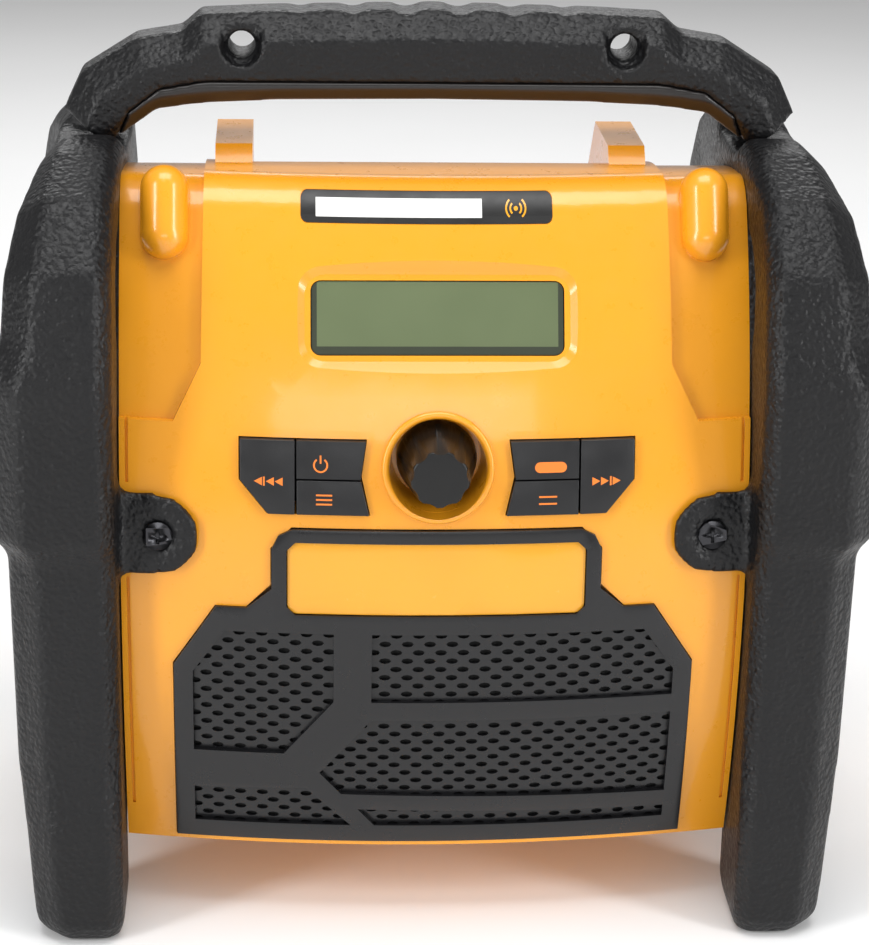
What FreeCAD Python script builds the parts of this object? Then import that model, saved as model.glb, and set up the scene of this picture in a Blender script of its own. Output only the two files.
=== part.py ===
import FreeCAD, Part
import math
import os

# Jobsite radio: a barrel-shaped housing held between two rubber roll cages,
# with a carry handle across the top. Millimetres, +Z up, front towards -Y,
# origin on the floor under the middle of the object.

# Overall sizes
WIDTH = 254.0
DEPTH = 178.0
HANDLE_TOP = 267.0

# Housing
HOUSING_WIDTH = 182.0
HOUSING_FRONT_Y = -82.0
HOUSING_REAR_Y = 80.0
HOUSING_BOTTOM_Z = 24.0
HOUSING_CREST_Z = 222.0
WIDEST_Z = 105.0
UPPER_FRONT_RADIUS = 211.5
LOWER_FRONT_RADIUS = 309.0
PLAN_RADIUS = 440.0
WALL = 3.0
PARTING_Y = 10.0
SEAM_GAP = 0.05

# Running and fitting clearances
FIT = 0.3
SHAFT_CLEARANCE = 0.05

# Control row
KNOB_Z = 147.0
KNOB_RADIUS = 8.4
KNOB_BASE_RADIUS = 11.6
KNOB_PROUD = 10.8
KNOB_FLUTES = 9
WELL_RADIUS = 14.0
WELL_DEPTH = 11.0
WELL_LIP = 1.1
SHAFT_RADIUS = 3.0
KEY_TRAVEL = 1.2
KEY_TOP_Z = 154.5
KEY_BOTTOM_Z = 133.5
KEY_SPLIT_Z = 143.6
KEY_INNER_X = 20.6
KEY_SPLIT_X = 40.6
KEY_OUTER_X = 56.5
KEY_GAP = 0.5
KEY_FLANGE_Y = -67.0
KEY_FLANGE = 1.4
KEY_STEM_RADIUS = 2.5
BOARD_Y = -58.0

# Display
LCD_WIDTH = 72.0
LCD_HEIGHT = 21.0
LCD_CENTRE_Z = 188.0
LCD_THICKNESS = 1.6

# Badge and grille
BADGE_HALF_WIDTH = 47.5
BADGE_TOP_Z = 129.0
GRILLE_HALF_WIDTH = 76.0
GRILLE_BOTTOM_Z = 26.0
GRILLE_SHOULDER_Z = 105.0

# Speakers
SPEAKER_X = 36.0
SPEAKER_Z = 66.0
SPEAKER_RADIUS = 31.0
MAGNET_RADIUS = 20.0
BAFFLE_Y = -62.0

# Roll cages
CAGE_INNER_X = 91.5
FOOT_Z = 0.0
CAGE_BAR = 34.0

# Handle
HANDLE_Y = -8.0
HANDLE_DEPTH = 30.0
LANYARD_X = 56.0
LANYARD_Z = 256.5
LANYARD_RADIUS = 4.0

# Battery bay and storage box, both open at the back
BAY_HALF_WIDTH = 40.0
BAY_BOTTOM_Z = 36.0
BAY_TOP_Z = 106.0
BAY_DEPTH = 34.0
RAIL_REACH = 4.0
BOX_HALF_WIDTH = 62.0
BOX_BOTTOM_Z = 120.0
BOX_TOP_Z = 160.0
BOX_DEPTH = 46.0
DOOR_THICKNESS = 3.0
HINGE_RADIUS = 1.5
BARREL_RADIUS = 3.2

# Screws
CAGE_SCREW_X = 80.0
CAGE_SCREW_Z = 126.0
SCREW_HEAD_RADIUS = 4.2
SCREW_SHANK_RADIUS = 2.0

# Sockets
AUX_RADIUS = 1.75
INLET_RADIUS = 3.1

os.makedirs("parts", exist_ok=True)


def vec(x, y, z):
    return FreeCAD.Vector(x, y, z)


def save(name, shape):
    shape.exportStep("parts/" + name + ".step")
    return shape


def block(x0, x1, y0, y1, z0, z1):
    return Part.makeBox(x1 - x0, y1 - y0, z1 - z0, vec(x0, y0, z0))


def rod_y(radius, y0, y1, x, z):
    return Part.makeCylinder(radius, y1 - y0, vec(x, y0, z), vec(0, 1, 0))


def rod_x(radius, x0, x1, y, z):
    return Part.makeCylinder(radius, x1 - x0, vec(x0, y, z), vec(1, 0, 0))


def face_of(points):
    return Part.Face(Part.makePolygon(points + [points[0]]))


def front_plate(outline, y0, y1):
    """A plate cut to an outline seen from the front, from y0 back to y1."""
    return face_of([vec(x, y0, z) for x, z in outline]).extrude(vec(0, y1 - y0, 0))


def rounded_plate(x0, x1, y0, y1, z0, z1, radius):
    """A plate with rounded corners as seen from the front."""
    plate = block(x0, x1, y0, y1, z0, z1)
    return plate.makeFillet(radius, upright_edges(plate, vec(0, 1, 0)))


def upright_edges(shape, direction):
    """The straight edges that run along a direction."""
    chosen = []
    for edge in shape.Edges:
        run = edge.Vertexes[-1].Point.sub(edge.Vertexes[0].Point)
        if run.Length > 0 and abs(abs(run.normalize().dot(direction)) - 1) < 1e-6:
            chosen.append(edge)
    return chosen


def mirrored(shape):
    return shape.mirror(vec(0, 0, 0), vec(1, 0, 0))


def group(shapes):
    return Part.Compound(shapes)


def front_y(x, z):
    """Where the barrel-shaped front of the housing lies."""
    radius = UPPER_FRONT_RADIUS if z > WIDEST_Z else LOWER_FRONT_RADIUS
    lean = radius - math.sqrt(radius ** 2 - (z - WIDEST_Z) ** 2)
    return HOUSING_FRONT_Y + lean + x * x / (2 * PLAN_RADIUS)


# Housing: side profiles lofted across the width

CREST_Y = -34.0
REAR_SHOULDER_Z = 168.0
TOP_BREAK_Z = 214.0


def housing_profile(x, inset):
    """Side outline of the housing at x, moved inwards by inset."""
    bottom = HOUSING_BOTTOM_Z + inset
    rear = HOUSING_REAR_Y - inset

    def on_front(z):
        return vec(x, front_y(x, z) + inset, z)

    low = on_front(bottom)
    wide = on_front(WIDEST_Z)
    high = on_front(TOP_BREAK_Z - inset)
    crest = vec(x, CREST_Y + x * x / (2 * PLAN_RADIUS), HOUSING_CREST_Z - inset)
    rear_high = vec(x, rear, REAR_SHOULDER_Z - inset)
    rear_low = vec(x, rear, bottom)
    top_middle = vec(x, 34, 206 - inset)
    edges = [
        Part.Arc(low, on_front((bottom + WIDEST_Z) / 2), wide).toShape(),
        Part.Arc(wide, on_front((WIDEST_Z + TOP_BREAK_Z) / 2), high).toShape(),
        Part.Arc(high, vec(x, high.y + 4.5, high.z + 5.5), crest).toShape(),
        Part.Arc(crest, top_middle, rear_high).toShape(),
        Part.LineSegment(rear_high, rear_low).toShape(),
        Part.LineSegment(rear_low, low).toShape(),
    ]
    return Part.Wire(edges)


def housing_form(inset, half):
    stations = [-half, -half / 2, 0, half / 2, half]
    return Part.makeLoft([housing_profile(x, inset) for x in stations], True, False)


FIN_INNER_X = 53.0
FIN_OUTER_X = 64.0
FIN_TOP_Z = 226.0
VALLEY_Z = 200.0


def top_fins():
    """Two raised walls that stand on the top, either side of the hand recess."""
    side = [vec(FIN_INNER_X, -24, 212), vec(FIN_INNER_X, -12, FIN_TOP_Z),
            vec(FIN_INNER_X, 22, FIN_TOP_Z), vec(FIN_INNER_X, 66, 176)]
    fin = face_of(side + [vec(FIN_INNER_X, -24, 176)])
    fin = fin.extrude(vec(FIN_OUTER_X - FIN_INNER_X, 0, 0))
    return [fin, mirrored(fin)]


def hand_recess(grow):
    """The hollow between the fins that leaves room for fingers, grown all round."""
    half = FIN_INNER_X + grow
    side = [(-18 - grow, 240), (-8 - grow, VALLEY_Z - grow), (40, VALLEY_Z - 14 - grow),
            (74, 160 - grow), (110, 160 - grow), (110, 240)]
    return face_of([vec(-half, y, z) for y, z in side]).extrude(vec(2 * half, 0, 0))


DOME_X = 78.0
DOME_RADIUS = 7.0


def shoulder_dome():
    """A capsule-shaped bump on the shoulder, standing out of the front slope."""
    low = vec(DOME_X, front_y(DOME_X, 207) + 1.5, 207)
    high = vec(DOME_X, front_y(DOME_X, 207) + 8.0, 219)
    run = high.sub(low)
    dome = Part.makeCylinder(DOME_RADIUS, run.Length, low, run)
    dome = dome.fuse(Part.makeSphere(DOME_RADIUS, low))
    return dome.fuse(Part.makeSphere(DOME_RADIUS, high))


SHOULDER_X = 66.5
SHOULDER_BASE_Z = 158.0
SHOULDER_STEP = 1.6
SEAM_X = 88.4
SEAM_WIDTH = 0.9
SEAM_DEPTH = 1.2


def shoulder_skin(form):
    """The thin skin taken off each shoulder, so that the middle panel stands proud."""
    lowered = form.copy()
    lowered.translate(vec(0, SHOULDER_STEP, -SHOULDER_STEP))
    outline = [(SHOULDER_X + 9.0, SHOULDER_BASE_Z), (SHOULDER_X + 1.0, SHOULDER_BASE_Z + 16.0), (SHOULDER_X, 240),
               (HOUSING_WIDTH, 240), (HOUSING_WIDTH, SHOULDER_BASE_Z)]
    return front_plate(outline, -120, 70).common(form).cut(lowered)


def side_seam(form):
    """A fine groove near the edge of the front, above and below the cage's tab."""
    sunk = form.copy()
    sunk.translate(vec(0, SEAM_DEPTH, -SEAM_DEPTH))
    upper = block(SEAM_X, SEAM_X + SEAM_WIDTH, -120, -40, CAGE_SCREW_Z + 14.0, 206)
    lower = block(SEAM_X, SEAM_X + SEAM_WIDTH, -120, -40, HOUSING_BOTTOM_Z + 12.0, CAGE_SCREW_Z - 14.0)
    return [part.common(form).cut(sunk) for part in (upper, lower)]


outer = housing_form(0, HOUSING_WIDTH / 2)
inner = housing_form(WALL, HOUSING_WIDTH / 2 - WALL)
wide_form = housing_form(0, CAGE_INNER_X + 8.0)
domes = [shoulder_dome(), mirrored(shoulder_dome())]
recess = hand_recess(0)
recess_skin = hand_recess(WALL)
trims = [shoulder_skin(outer)] + side_seam(outer)
trims = trims + [mirrored(trim) for trim in trims]
solid_form = outer.cut(trims).fuse(top_fins() + domes)
shell = solid_form.cut([inner.cut(recess_skin), recess])

# Front housing and everything let into it

FRONT_SIDE = block(-WIDTH, WIDTH, -DEPTH, PARTING_Y, -10, 300)
front_housing = shell.common(FRONT_SIDE)


def key_outline():
    """Outline of the left keypad as seen from the front, corner cut outside."""
    return [(-KEY_OUTER_X, KEY_TOP_Z), (-KEY_INNER_X, KEY_TOP_Z),
            (-KEY_INNER_X - 1.5, (KEY_TOP_Z + KEY_BOTTOM_Z) / 2), (-KEY_INNER_X + 1.0, KEY_BOTTOM_Z),
            (-KEY_OUTER_X + 8.0, KEY_BOTTOM_Z), (-KEY_OUTER_X, KEY_BOTTOM_Z + 9.5)]


def grown(outline, amount):
    """Moves the keypad's outline outwards on every side."""
    moved = []
    for x, z in outline:
        moved.append((x - amount if x < -KEY_SPLIT_X else x + amount, z + amount if z > KEY_SPLIT_Z else z - amount))
    return moved


def crowned(plate, rise):
    """Cuts the front of a plate to the housing's barrel shape, raised by rise."""
    form = outer.copy()
    form.translate(vec(0, -rise, 0))
    return plate.common(form)


KEY_RISE = 1.6
key_back_y = KEY_FLANGE_Y + SEAM_GAP + KEY_FLANGE
left_pad = crowned(front_plate(key_outline(), -100, key_back_y), KEY_RISE)
left_pad = left_pad.fuse(front_plate(grown(key_outline(), 1.2), KEY_FLANGE_Y + SEAM_GAP, key_back_y))
half_gap = KEY_GAP / 2
outer_part = block(-WIDTH, -KEY_SPLIT_X - half_gap, -DEPTH, 0, 0, 300)
upper_part = block(-KEY_SPLIT_X + half_gap, 0, -DEPTH, 0, KEY_SPLIT_Z + half_gap, 300)
lower_part = block(-KEY_SPLIT_X + half_gap, 0, -DEPTH, 0, 0, KEY_SPLIT_Z - half_gap)
membrane_y = BOARD_Y - 1.5
stem_end_y = membrane_y - KEY_TRAVEL - 0.2


def key_piece(region, x, z):
    """One key: its share of the pad, with a round stem behind it."""
    return left_pad.common(region).fuse(rod_y(KEY_STEM_RADIUS, key_back_y - 0.5, stem_end_y, x, z))


left_keys = {
    "key_previous": key_piece(outer_part, -48.5, 146.0),
    "key_power": key_piece(upper_part, -30.5, 149.0),
    "key_menu": key_piece(lower_part, -30.5, 138.5),
}
right_names = {"key_previous": "key_next", "key_power": "key_mode", "key_menu": "key_enter"}
keys = dict(left_keys)
for left_name, right_name in right_names.items():
    keys[right_name] = mirrored(left_keys[left_name])

left_pocket = front_plate(grown(key_outline(), FIT), -100, 0)
left_collar = front_plate(grown(key_outline(), 2.5), -100, KEY_FLANGE_Y).common(outer)

# The knob, its well and its encoder lie level, and the well's lip follows the slope of the front
KNOB_SLOPE = math.degrees(math.asin((KNOB_Z - WIDEST_Z) / UPPER_FRONT_RADIUS))
knob_centre = vec(0, front_y(0, KNOB_Z), KNOB_Z)


def on_knob_axis(shape, tilt=0.0):
    """Moves something drawn round the Y axis at the origin onto the knob's axis, tilted back."""
    shape = shape.copy()
    shape.rotate(vec(0, 0, 0), vec(1, 0, 0), -tilt)
    shape.translate(knob_centre)
    return shape


def cone_y(radius0, radius1, y0, y1):
    return Part.makeCone(radius0, radius1, y1 - y0, vec(0, y0, 0), vec(0, 1, 0))


well_cut = on_knob_axis(cone_y(WELL_RADIUS + 0.8, WELL_RADIUS - 1.2, -8.0, WELL_DEPTH))
well_cup = on_knob_axis(cone_y(WELL_RADIUS + WALL, WELL_RADIUS + WALL - 2.0, 1.0, WELL_DEPTH + WALL)).common(outer)
well_lip = on_knob_axis(Part.makeTorus(WELL_RADIUS + WELL_LIP, WELL_LIP, vec(0, 0, 0), vec(0, 1, 0)), KNOB_SLOPE)

# The display window lies square to the slope of the front
LCD_TILT = math.degrees(math.asin((LCD_CENTRE_Z - WIDEST_Z) / UPPER_FRONT_RADIUS))
LCD_RECESS = 3.0
lcd_centre = vec(0, front_y(0, LCD_CENTRE_Z), LCD_CENTRE_Z)


def on_lcd_slope(shape):
    """Turns something drawn upright at the origin onto the display's slope."""
    shape = shape.copy()
    shape.rotate(vec(0, 0, 0), vec(1, 0, 0), -LCD_TILT)
    shape.translate(lcd_centre)
    return shape


def lcd_plate(grow, y0, y1, radius):
    half_w = LCD_WIDTH / 2 + grow
    half_h = LCD_HEIGHT / 2 + grow
    return rounded_plate(-half_w, half_w, y0, y1, -half_h, half_h, radius)


def lcd_bezel_cut():
    """The tapered recess round the display, wide at the front."""
    wires = []
    for grow, y in ((10.0, -6.0), (7.5, -0.6), (2.0, LCD_RECESS)):
        face = lcd_plate(grow, y, y + 1, 6.0).Faces
        flat = [f for f in face if abs(f.CenterOfMass.y - y) < 1e-6][0]
        wires.append(flat.OuterWire)
    return Part.makeLoft(wires, True, True)


bezel_cut = on_lcd_slope(lcd_bezel_cut())
window_cut = on_lcd_slope(lcd_plate(FIT, 0, 12, 3.0))
frame_backing = on_lcd_slope(lcd_plate(12.0, 0, LCD_RECESS + 3.0, 6.0)).common(outer)
lcd_window = on_lcd_slope(lcd_plate(0, LCD_RECESS + 0.4, LCD_RECESS + 0.4 + LCD_THICKNESS, 2.5))
lcd_gasket = on_lcd_slope(
    lcd_plate(3.0, LCD_RECESS + 3.05, LCD_RECESS + 4.4, 3.0).cut(lcd_plate(-3.0, 0, 12, 2.0)))
lcd_module = on_lcd_slope(lcd_plate(3.0, LCD_RECESS + 4.45, LCD_RECESS + 9.0, 3.0))

# Speaker baffle: the front wall is pierced behind the grille
speaker_holes = [rod_y(SPEAKER_RADIUS - 4.0, -100, -40, x, SPEAKER_Z) for x in (-SPEAKER_X, SPEAKER_X)]
baffle_rings = [rod_y(SPEAKER_RADIUS + 2.0, -100, BAFFLE_Y, x, SPEAKER_Z).common(outer) for x in (-SPEAKER_X, SPEAKER_X)]


def grille_outline(grow):
    """Outline of the grille with its raised badge frame, seen from the front."""
    half = GRILLE_HALF_WIDTH + grow
    badge = BADGE_HALF_WIDTH + grow
    right = [(half, GRILLE_BOTTOM_Z - grow), (half, 86.0), (63.5 + grow, GRILLE_SHOULDER_Z),
             (badge + 7.0, GRILLE_SHOULDER_Z), (badge, GRILLE_SHOULDER_Z + 7.0),
             (badge, BADGE_TOP_Z - 6.0), (badge - 6.0, BADGE_TOP_Z + grow)]
    left = [(-x, z) for x, z in reversed(right)]
    return right + left


GRILLE_RISE = 1.2
GRILLE_SEAT = 2.2


def behind_front(depth):
    """The housing's outer form moved back by depth."""
    form = outer.copy()
    form.translate(vec(0, depth, 0))
    return form


grille_pocket = front_plate(grille_outline(FIT), -100, -40).cut(behind_front(GRILLE_SEAT + FIT))
grille_sheet = crowned(front_plate(grille_outline(0), -100, -40), GRILLE_RISE).cut(behind_front(GRILLE_SEAT))
badge_pocket = rounded_plate(-43.2, 43.2, -100, -40, 103.2, 125.2, 3.0).cut(behind_front(0.6))
badge_plate = rounded_plate(-43.0, 43.0, -100, -40, 103.4, 125.0, 3.0)
badge_plate = badge_plate.common(behind_front(-0.4)).cut(behind_front(0.55))


BAR = 5.2
FRAME_BORDER = 5.5
FIELD_DEPTH = 1.3
SLOT_HALF_WIDTH = 2.6
SLOT_HALF_HEIGHT = 1.3
SLOT_PITCH_X = 8.0
SLOT_PITCH_Z = 5.2


def grille_fields():
    """The four sunk fields between the grille's bars, seen from the front."""
    side = GRILLE_HALF_WIDTH - FRAME_BORDER
    floor = GRILLE_BOTTOM_Z + 6.0
    roof = GRILLE_SHOULDER_Z - 7.5
    upper_left = [(-side, 57.5), (-side, 84.0), (-61.0, roof), (-29.5, roof), (-29.5, 75.5), (-44.0, 57.5)]
    lower_left = [(-side, floor), (-side, 44.5), (-37.5, 45.5), (-24.0, floor)]
    upper_right = [(-18.5, roof), (61.0, roof), (side, 84.0), (side, 75.5), (-18.5, 75.5)]
    middle_right = [(-18.5, 69.5), (side, 69.5), (side, 41.5), (-27.0, 43.5), (-33.5, 51.0)]
    lower_right = [(-17.0, floor), (side, floor), (side, 36.0), (-22.0, 38.0)]
    return [upper_left, lower_left, upper_right, middle_right, lower_right]


def field_slots(outline):
    """Rows of wide slots that fill one field, every other row shifted by half."""
    region = front_plate(outline, -100, -99)
    slots = []
    rows = int((GRILLE_SHOULDER_Z - GRILLE_BOTTOM_Z) / SLOT_PITCH_Z)
    columns = int(GRILLE_HALF_WIDTH / SLOT_PITCH_X) + 1
    for row in range(rows):
        z = GRILLE_BOTTOM_Z + (row + 0.5) * SLOT_PITCH_Z
        for column in range(-columns, columns + 1):
            x = (column + 0.5 * (row % 2)) * SLOT_PITCH_X
            corners = [vec(x + i, -99.5, z + k) for i in (-3.4, 3.4) for k in (-1.9, 1.9)]
            if all(region.isInside(corner, 0.01, True) for corner in corners):
                slots.append(block(x - SLOT_HALF_WIDTH, x + SLOT_HALF_WIDTH, -100, -60,
                                   z - SLOT_HALF_HEIGHT, z + SLOT_HALF_HEIGHT))
    return slots


def field_hollow(outline):
    """The space over one sunk field."""
    return front_plate(outline, -100, -40).cut(behind_front(FIELD_DEPTH - GRILLE_RISE))


speaker_grille = grille_sheet.cut([badge_pocket] + [field_hollow(o) for o in grille_fields()])
for outline in grille_fields():
    speaker_grille = speaker_grille.cut(field_slots(outline))

# Label plate let into the top slope
LABEL_CENTRE_X = -3.0
LABEL_HALF_WIDTH = 36.0
LABEL_TOP_Z = 220.0
LABEL_BOTTOM_Z = 212.0
LABEL_SINK = 0.4


def label_block(grow):
    return rounded_plate(LABEL_CENTRE_X - LABEL_HALF_WIDTH - grow, LABEL_CENTRE_X + LABEL_HALF_WIDTH + grow, -80, -25,
                         LABEL_BOTTOM_Z - grow, LABEL_TOP_Z + grow, 2.0)


label_plate = label_block(0).common(outer).cut(behind_front(LABEL_SINK))
label_pocket = label_block(0.15).cut(behind_front(LABEL_SINK + SEAM_GAP))

# Roll-cage screws go through the tabs into the front
screw_y = front_y(CAGE_SCREW_X, CAGE_SCREW_Z)

front_cutters = [left_pocket, mirrored(left_pocket), well_cut, bezel_cut, window_cut, grille_pocket, label_pocket]
front_housing = front_housing.fuse([well_cup.common(FRONT_SIDE), frame_backing, left_collar, mirrored(left_collar)])
front_housing = front_housing.fuse(baffle_rings + [well_lip]).cut(front_cutters + speaker_holes)

shaft_hole = on_knob_axis(rod_y(SHAFT_RADIUS + 0.4, -20, 20, 0, 0))
screw_holes = [rod_y(SCREW_SHANK_RADIUS - 0.2, -100, -40, x, CAGE_SCREW_Z) for x in (-CAGE_SCREW_X, CAGE_SCREW_X)]
front_housing = front_housing.cut([shaft_hole] + screw_holes)

# Volume knob: a fluted cone with a blind bore for the encoder's shaft
KNOB_SKIRT_Y = WELL_DEPTH - 2.5
KNOB_CROWN = 4.0
FLUTE_RADIUS = 5.0


def fluted_knob():
    """The knob, drawn round the Y axis with its face towards -Y."""
    body = cone_y(KNOB_RADIUS, KNOB_BASE_RADIUS, -KNOB_PROUD, KNOB_SKIRT_Y)
    face_edge = [e for e in body.Edges if abs(e.CenterOfMass.y + KNOB_PROUD) < 1e-6 and len(e.Vertexes) == 1]
    body = body.makeFillet(1.0, face_edge)
    cutters = []
    for index in range(KNOB_FLUTES):
        turn = 2 * math.pi * index / KNOB_FLUTES
        foot_reach = KNOB_BASE_RADIUS + FLUTE_RADIUS - 0.7
        face_reach = KNOB_RADIUS + FLUTE_RADIUS - 1.1
        foot = vec(foot_reach * math.sin(turn), KNOB_SKIRT_Y - KNOB_CROWN, foot_reach * math.cos(turn))
        face = vec(face_reach * math.sin(turn), -KNOB_PROUD - 2.0, face_reach * math.cos(turn))
        run = face.sub(foot)
        cutters.append(Part.makeCylinder(FLUTE_RADIUS, run.Length, foot, run))
    return body.cut(cutters)


shaft_start = -KNOB_PROUD + 5.0
encoder_back = WELL_DEPTH + WALL + 4.0
volume_knob = on_knob_axis(fluted_knob().cut(rod_y(SHAFT_RADIUS, shaft_start, 30, 0, 0)))
encoder_shaft = on_knob_axis(rod_y(SHAFT_RADIUS, shaft_start, encoder_back - 1.0, 0, 0))
encoder_body = on_knob_axis(rod_y(8.0, WELL_DEPTH + WALL + 0.1, encoder_back, 0, 0).cut(
    rod_y(SHAFT_RADIUS + SHAFT_CLEARANCE, 0, encoder_back - 0.9, 0, 0)))

# Roll cages: chamfered sections lofted along an arch seen from the side


def cage_section(path_y, path_z, lean, inner_x, outer_x, thick, chamfer):
    """Eight-sided section; lean turns it about X, 0 lies flat, 90 stands."""
    angle = math.radians(lean)
    along = vec(0, math.cos(angle), math.sin(angle))
    half = thick / 2
    corners = [(inner_x, -half + chamfer / 2), (inner_x + chamfer / 2, -half), (outer_x - chamfer, -half),
               (outer_x, -half + chamfer), (outer_x, half - chamfer), (outer_x - chamfer, half),
               (inner_x + chamfer / 2, half), (inner_x, half - chamfer / 2)]
    points = []
    for x, offset in corners:
        points.append(vec(x, path_y, path_z) + along * offset)
    return Part.makePolygon(points + [points[0]])


PAD_FACE_Y = -DEPTH / 2
COLUMN_Y = PAD_FACE_Y + CAGE_BAR / 2 + 2.0
OUTER_X = WIDTH / 2


def cage_leg(sign):
    """Sections of one leg, from its foot to the top of the arch."""
    y = sign * COLUMN_Y
    stations = [
        (y, FOOT_Z, 0, CAGE_INNER_X + 1, OUTER_X - 12, CAGE_BAR - 5, 7),
        (y, 5, 0, CAGE_INNER_X, OUTER_X - 9, CAGE_BAR + 3, 8),
        (y, 37, 0, CAGE_INNER_X, OUTER_X - 7, CAGE_BAR + 3, 8),
        (y, 56, 0, CAGE_INNER_X, OUTER_X - 5, CAGE_BAR - 2, 9),
        (y, 121, 0, CAGE_INNER_X, OUTER_X - 4, CAGE_BAR - 2, 9),
        (y, 127, 0, CAGE_INNER_X, OUTER_X, CAGE_BAR + 4, 9),
        (y, 174, 0, CAGE_INNER_X, OUTER_X, CAGE_BAR + 4, 9),
        (y, 184, 0, CAGE_INNER_X, OUTER_X - 4, CAGE_BAR - 3, 9),
        (y * 0.95, 199, -sign * 17, CAGE_INNER_X, OUTER_X - 5, CAGE_BAR - 5, 9),
        (y * 0.78, 212, -sign * 42, CAGE_INNER_X, OUTER_X - 8, CAGE_BAR - 7, 8),
        (y * 0.50, 219, -sign * 66, CAGE_INNER_X - 1, OUTER_X - 12, CAGE_BAR - 9, 7),
        (y * 0.20, 221, -sign * 86, CAGE_INNER_X - 2, OUTER_X - 15, CAGE_BAR - 10, 7),
        (0, 221, -sign * 90, CAGE_INNER_X - 2, OUTER_X - 15, CAGE_BAR - 10, 7),
    ]
    return Part.makeLoft([cage_section(*s) for s in stations], True, True)


SILL_Z = 40.0


def cage_sill():
    """The low bar that joins the two legs beside the housing."""
    sections = []
    for y in (-COLUMN_Y, COLUMN_Y):
        points = [vec(CAGE_INNER_X, y, SILL_Z - 11), vec(OUTER_X - 16, y, SILL_Z - 11),
                  vec(OUTER_X - 9, y, SILL_Z - 4), vec(OUTER_X - 9, y, SILL_Z + 4),
                  vec(OUTER_X - 16, y, SILL_Z + 11), vec(CAGE_INNER_X, y, SILL_Z + 11)]
        sections.append(Part.makePolygon(points + [points[0]]))
    return Part.makeLoft(sections, True, True)


def screw_tab():
    """The tab that wraps from the front leg onto the housing's face."""
    tab = block(CAGE_SCREW_X, CAGE_INNER_X + 6, -100, -40, CAGE_SCREW_Z - 12, CAGE_SCREW_Z + 12)
    tab = tab.fuse(rod_y(12.0, -100, -40, CAGE_SCREW_X, CAGE_SCREW_Z))
    raised = wide_form.copy()
    raised.translate(vec(0, -3.5, 0))
    seated = wide_form.copy()
    seated.translate(vec(0, -SEAM_GAP, 0))
    return tab.common(raised).cut(seated)


TUCK = block(60, 130, HANDLE_Y - 16, HANDLE_Y + 16, 226.5, 300)
clear_form = housing_form(-FIT, HOUSING_WIDTH / 2 + FIT)
right_cage = cage_leg(-1).fuse([cage_leg(1), cage_sill()]).cut(clear_form)
right_cage = right_cage.fuse(screw_tab()).removeSplitter()
cage_screw_hole = rod_y(SCREW_SHANK_RADIUS + 0.3, -100, -40, CAGE_SCREW_X, CAGE_SCREW_Z)
cage_screw_sink = rod_y(SCREW_HEAD_RADIUS + 0.3, -100, screw_y - 1.4, CAGE_SCREW_X, CAGE_SCREW_Z)
right_cage = right_cage.cut([TUCK, cage_screw_hole, cage_screw_sink])

# Carry handle: rounded sections lofted along its outline


def handle_section(x, top, bottom, lean):
    """Eight-sided section across the handle at x."""
    height = top - bottom
    chamfer = 8.0
    half = HANDLE_DEPTH / 2
    across = vec(math.sin(math.radians(lean)), 0, math.cos(math.radians(lean)))
    base = vec(x, HANDLE_Y, bottom)
    corners = [(-half + 4, 0), (half - 4, 0), (half, 4), (half, height - chamfer), (half - chamfer, height),
               (-half + chamfer, height), (-half, height - chamfer), (-half, 4)]
    points = []
    for y, rise in corners:
        points.append(base + across * rise + vec(0, y, 0))
    return Part.makePolygon(points + [points[0]])


HANDLE_STATIONS = [(0, HANDLE_TOP, 241, 0), (46, 266, 240.5, 0), (66, 265, 239.5, 4), (71, 260, 239, 7),
                   (81, 258.5, 237.5, 16), (90, 252, 231, 38), (95, 243.5, 227.6, 55)]
right_run = [handle_section(*s) for s in HANDLE_STATIONS]
left_run = [handle_section(-x, top, bottom, -lean) for x, top, bottom, lean in reversed(HANDLE_STATIONS[1:])]
handle_form = Part.makeLoft(left_run + right_run, True, True)
GROOVE_COUNT = 6
GROOVE_SPAN = 78.0
GROOVE_RADIUS = 7.0
GROOVE_DEPTH = 1.6
RECESS_HALF_WIDTH = 5.6
RECESS_DEPTH = 4.5


def finger_grooves():
    """Shallow rounded grooves across the top of the grip."""
    grooves = []
    for index in range(GROOVE_COUNT):
        x = -GROOVE_SPAN / 2 + index * GROOVE_SPAN / (GROOVE_COUNT - 1)
        grooves.append(rod_y(GROOVE_RADIUS, -60, 60, x, HANDLE_TOP + GROOVE_RADIUS - GROOVE_DEPTH))
    return grooves


def lanyard_recess(x, side):
    """The sunk channel round one end of a lanyard hole, open at the top."""
    face_y = HANDLE_Y + side * HANDLE_DEPTH / 2
    y0, y1 = sorted((face_y - side * RECESS_DEPTH, face_y + side * 5.0))
    channel = rod_y(RECESS_HALF_WIDTH, y0, y1, x, LANYARD_Z)
    return channel.fuse(block(x - RECESS_HALF_WIDTH, x + RECESS_HALF_WIDTH, y0, y1, LANYARD_Z, HANDLE_TOP + 5))


recesses = [lanyard_recess(x, side) for x in (-LANYARD_X, LANYARD_X) for side in (-1, 1)]
lanyard_holes = [rod_y(LANYARD_RADIUS, -60, 60, x, LANYARD_Z) for x in (-LANYARD_X, LANYARD_X)]
handle_form = handle_form.cut(lanyard_holes + recesses + finger_grooves())
liner_right = [(66, 246.5), (80, 244), (89, 237), (94, 226), (94, 200)]
liner_outline = [(-x, z) for x, z in reversed(liner_right)] + liner_right
liner_region = front_plate(liner_outline, -60, 60)
handle_underside = handle_form.common(liner_region)
carry_handle = handle_form.cut(liner_region)

# Rear housing with the battery bay and the storage box

rear_housing = shell.cut(block(-WIDTH, WIDTH, -DEPTH, PARTING_Y + SEAM_GAP, -10, 300))


def rear_hollow(half_width, z0, z1, depth, grow):
    return block(-half_width - grow, half_width + grow, HOUSING_REAR_Y - depth - grow, HOUSING_REAR_Y + 20,
                 z0 - grow, z1 + grow)


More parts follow.
